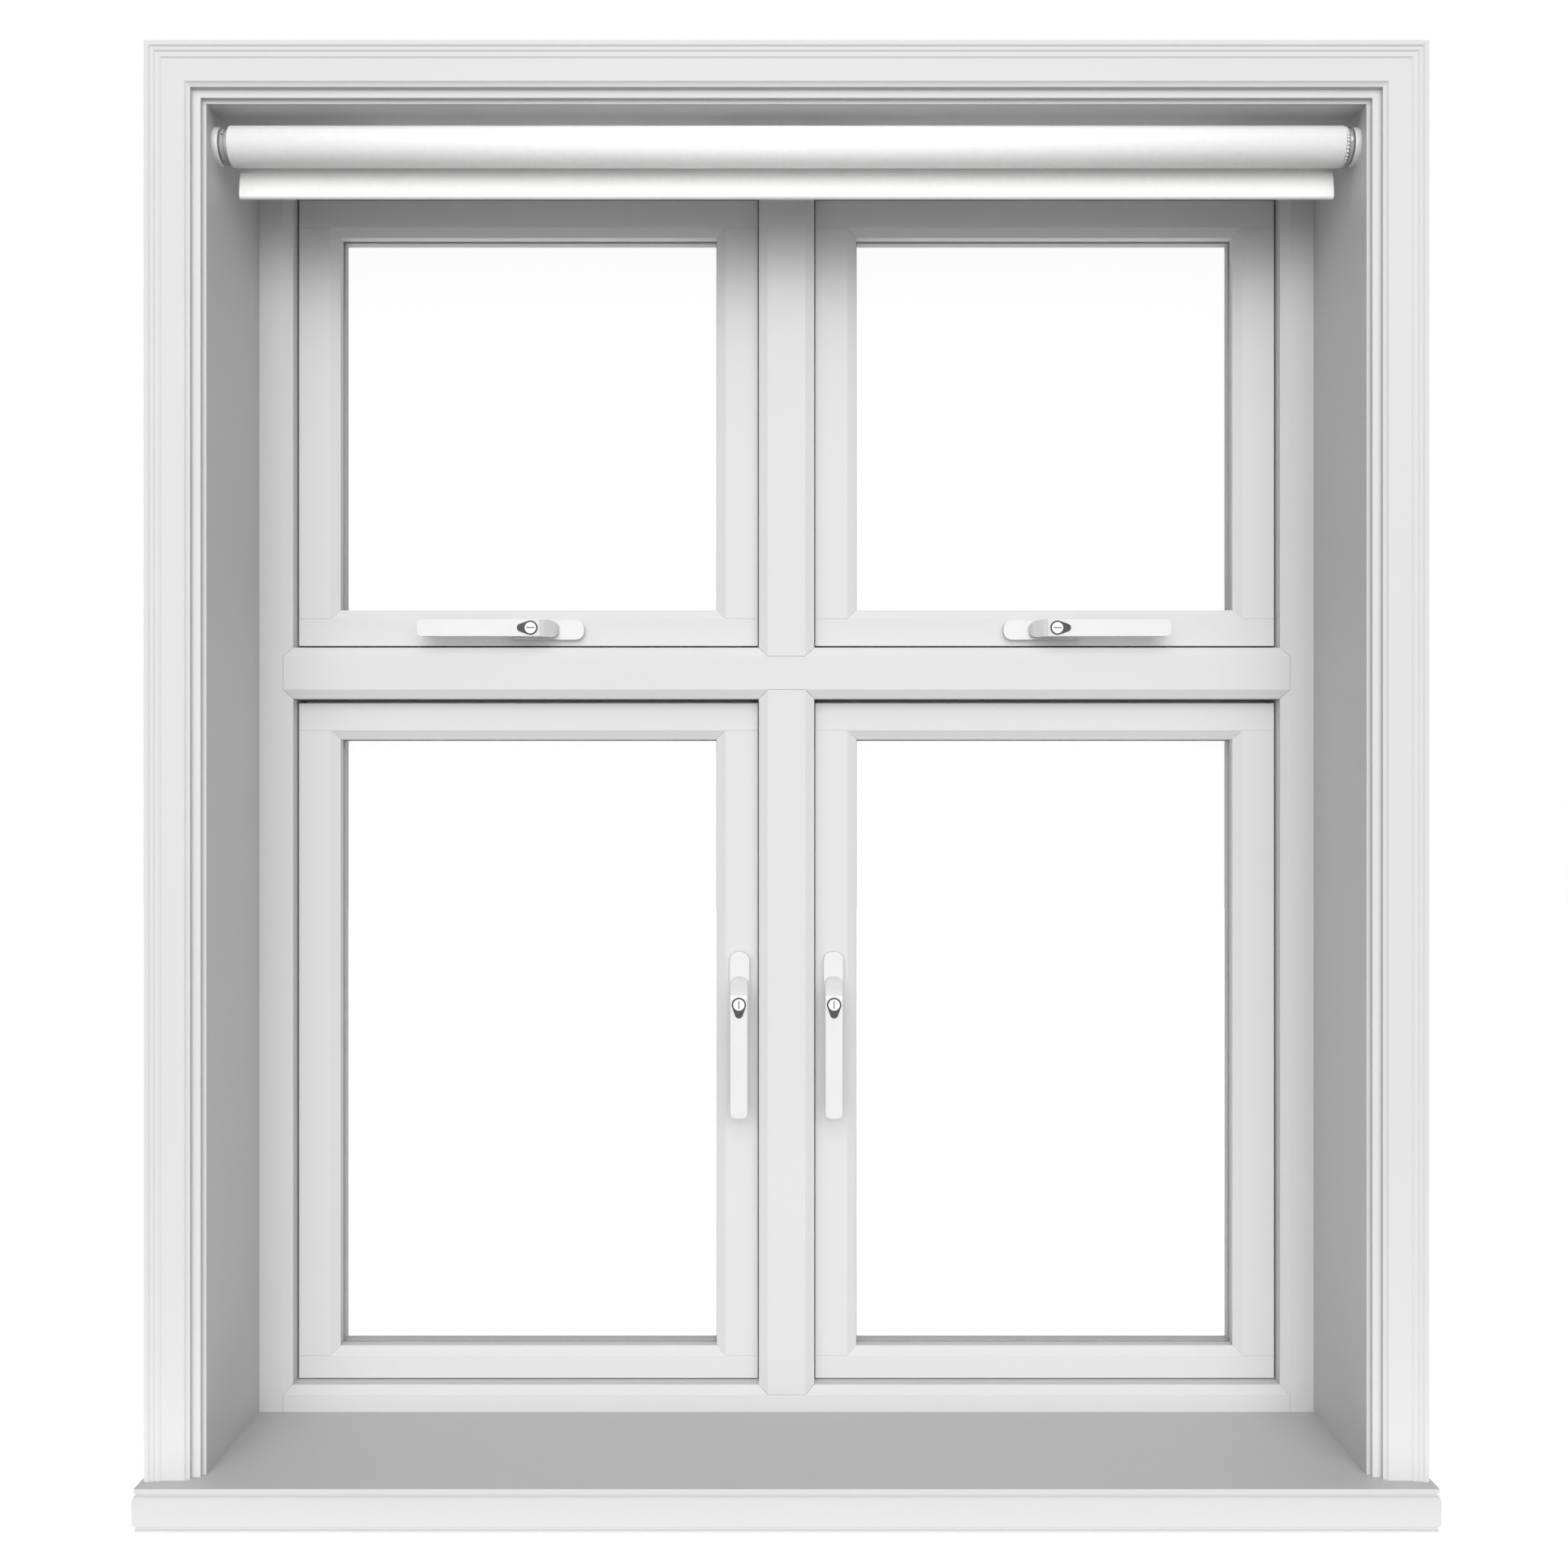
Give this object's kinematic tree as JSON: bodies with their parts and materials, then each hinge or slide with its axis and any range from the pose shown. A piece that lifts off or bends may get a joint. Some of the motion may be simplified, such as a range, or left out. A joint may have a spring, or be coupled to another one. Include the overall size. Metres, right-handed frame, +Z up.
{
  "type": "casement window",
  "caption": "White timber casement window with top-hung upper and side-hung lower sashes, key-locking handles, linings, architrave, window board and a roller blind.",
  "frame": {"origin": "middle of the frame's underside at its room face", "axes": "+X to the right as seen from the room, +Y to the outside, +Z up"},
  "size_m": [1.2172, 0.271, 1.3964],
  "materials": {
    "frame_paint": "satin white paint on timber",
    "lining_paint": "satin white paint on board",
    "trim_paint": "satin white paint on moulded timber",
    "board_paint": "satin white paint on moulded timber",
    "sash_paint": "satin white paint on timber",
    "seal_rubber": "matt black weather strip",
    "steel": "bright zinc",
    "pane_glass": "clear",
    "handle_coat": "white powder coat on cast metal",
    "barrel_face": "white enamel",
    "blind_white": "white moulded plastic",
    "blind_grey": "grey moulded plastic",
    "tube_metal": "mill aluminium",
    "blind_cloth": "white coated blind cloth"
  },
  "bodies": {
    "frame": {"jamb_left": "frame_paint", "jamb_right": "frame_paint", "frame_head": "frame_paint", "frame_sill": "frame_paint", "transom": "frame_paint", "mullion_upper": "frame_paint", "mullion_lower": "frame_paint", "lining_left": "lining_paint", "lining_right": "lining_paint", "lining_head": "lining_paint", "window_board": "board_paint", "architrave_left": "trim_paint", "architrave_right": "trim_paint", "architrave_head": "trim_paint", "weather_seals": "seal_rubber", "lock_keeps": "steel", "hinge_frame_leaves": "steel", "hinge_pins": "steel", "blind_bracket_left": "blind_white", "blind_bracket_right": "blind_white"},
    "blind_roll": {"blind_tube": "tube_metal", "idle_plug": "blind_grey", "chain_wheel": "blind_grey", "chain_beads": "blind_white", "cloth_roll": "blind_cloth"},
    "blind_hem": {"cloth_drop": "blind_cloth", "hem_bar": "blind_cloth"},
    "sash_upper_left": {"sash_upper_left": "sash_paint", "glazing_beads_upper_left": "sash_paint", "glass_panes_upper_left": "pane_glass", "hinge_leaves_upper_left": "steel", "handle_plate_upper_left": "handle_coat"},
    "lever_upper_left": {"lever_upper_left": "handle_coat"},
    "barrel_upper_left": {"lock_barrel_upper_left": "barrel_face"},
    "espag_upper_left": {"espag_bar_upper_left": "steel"},
    "sash_upper_right": {"sash_upper_right": "sash_paint", "glazing_beads_upper_right": "sash_paint", "glass_panes_upper_right": "pane_glass", "hinge_leaves_upper_right": "steel", "handle_plate_upper_right": "handle_coat"},
    "lever_upper_right": {"lever_upper_right": "handle_coat"},
    "barrel_upper_right": {"lock_barrel_upper_right": "barrel_face"},
    "espag_upper_right": {"espag_bar_upper_right": "steel"},
    "sash_lower_left": {"sash_lower_left": "sash_paint", "glazing_beads_lower_left": "sash_paint", "glass_panes_lower_left": "pane_glass", "hinge_leaves_lower_left": "steel", "handle_plate_lower_left": "handle_coat"},
    "lever_lower_left": {"lever_lower_left": "handle_coat"},
    "barrel_lower_left": {"lock_barrel_lower_left": "barrel_face"},
    "espag_lower_left": {"espag_bar_lower_left": "steel"},
    "sash_lower_right": {"sash_lower_right": "sash_paint", "glazing_beads_lower_right": "sash_paint", "glass_panes_lower_right": "pane_glass", "hinge_leaves_lower_right": "steel", "handle_plate_lower_right": "handle_coat"},
    "lever_lower_right": {"lever_lower_right": "handle_coat"},
    "barrel_lower_right": {"lock_barrel_lower_right": "barrel_face"},
    "espag_lower_right": {"espag_bar_lower_right": "steel"}
  },
  "joints": [
    {"name": "sash_upper_left_hinge", "type": "hinge", "parent": "frame", "child": "sash_upper_left", "pos_m": [-0.273, 0.075, 1.3245], "axis": [1, 0, 0], "range_deg": [0, 60]},
    {"name": "lever_upper_left_turn", "type": "hinge", "parent": "sash_upper_left", "child": "lever_upper_left", "pos_m": [-0.2528, 0.02, 0.86], "axis": [0, 1, 0], "range_deg": [0, 90]},
    {"name": "lock_upper_left_turn", "type": "hinge", "parent": "lever_upper_left", "child": "barrel_upper_left", "pos_m": [-0.2651, -0.01, 0.86], "axis": [0, 1, 0], "range_deg": [0, 90]},
    {"name": "espag_upper_left_slide", "type": "slide", "parent": "sash_upper_left", "child": "espag_upper_left", "axis": [1, 0, 0], "range_m": [0, 0.02]},
    {"name": "sash_upper_right_hinge", "type": "hinge", "parent": "frame", "child": "sash_upper_right", "pos_m": [0.273, 0.075, 1.3245], "axis": [1, 0, 0], "range_deg": [0, 60]},
    {"name": "lever_upper_right_turn", "type": "hinge", "parent": "sash_upper_right", "child": "lever_upper_right", "pos_m": [0.2682, 0.02, 0.86], "axis": [0, -1, 0], "range_deg": [0, 90]},
    {"name": "lock_upper_right_turn", "type": "hinge", "parent": "lever_upper_right", "child": "barrel_upper_right", "pos_m": [0.2805, -0.01, 0.86], "axis": [0, -1, 0], "range_deg": [0, 90]},
    {"name": "espag_upper_right_slide", "type": "slide", "parent": "sash_upper_right", "child": "espag_upper_right", "axis": [-1, 0, 0], "range_m": [0, 0.02]},
    {"name": "sash_lower_left_hinge", "type": "hinge", "parent": "frame", "child": "sash_lower_left", "pos_m": [-0.52485, 0.075, 0.45], "axis": [0, 0, 1], "range_deg": [0, 90]},
    {"name": "lever_lower_left_turn", "type": "hinge", "parent": "sash_lower_left", "child": "lever_lower_left", "pos_m": [-0.0493, 0.02, 0.4818], "axis": [0, 1, 0], "range_deg": [0, 90]},
    {"name": "lock_lower_left_turn", "type": "hinge", "parent": "lever_lower_left", "child": "barrel_lower_left", "pos_m": [-0.0493, -0.01, 0.4695], "axis": [0, 1, 0], "range_deg": [0, 90]},
    {"name": "espag_lower_left_slide", "type": "slide", "parent": "sash_lower_left", "child": "espag_lower_left", "axis": [0, 0, 1], "range_m": [0, 0.02]},
    {"name": "sash_lower_right_hinge", "type": "hinge", "parent": "frame", "child": "sash_lower_right", "pos_m": [0.52485, 0.075, 0.45], "axis": [0, 0, -1], "range_deg": [0, 90]},
    {"name": "lever_lower_right_turn", "type": "hinge", "parent": "sash_lower_right", "child": "lever_lower_right", "pos_m": [0.0493, 0.02, 0.4818], "axis": [0, -1, 0], "range_deg": [0, 90]},
    {"name": "lock_lower_right_turn", "type": "hinge", "parent": "lever_lower_right", "child": "barrel_lower_right", "pos_m": [0.0493, -0.01, 0.4695], "axis": [0, -1, 0], "range_deg": [0, 90]},
    {"name": "espag_lower_right_slide", "type": "slide", "parent": "sash_lower_right", "child": "espag_lower_right", "axis": [0, 0, 1], "range_m": [0, 0.02]},
    {"name": "blind_roll_turn", "type": "hinge", "parent": "frame", "child": "blind_roll", "pos_m": [0, -0.128, 1.3137], "axis": [-1, 0, 0], "range_deg": [0, 3920]},
    {"name": "blind_hem_drop", "type": "slide", "parent": "frame", "child": "blind_hem", "axis": [0, 0, -1], "range_m": [0, 1.198], "deforming": ["cloth_drop"]}
  ],
  "couplings": [
    {"joint": "espag_upper_left_slide", "follows": "lever_upper_left_turn", "m_per_rad": 0.012732},
    {"joint": "espag_upper_right_slide", "follows": "lever_upper_right_turn", "m_per_rad": 0.012732},
    {"joint": "espag_lower_left_slide", "follows": "lever_lower_left_turn", "m_per_rad": 0.012732},
    {"joint": "espag_lower_right_slide", "follows": "lever_lower_right_turn", "m_per_rad": 0.012732},
    {"joint": "blind_hem_drop", "follows": "blind_roll_turn", "m_per_rad": 0.0175}
  ]
}
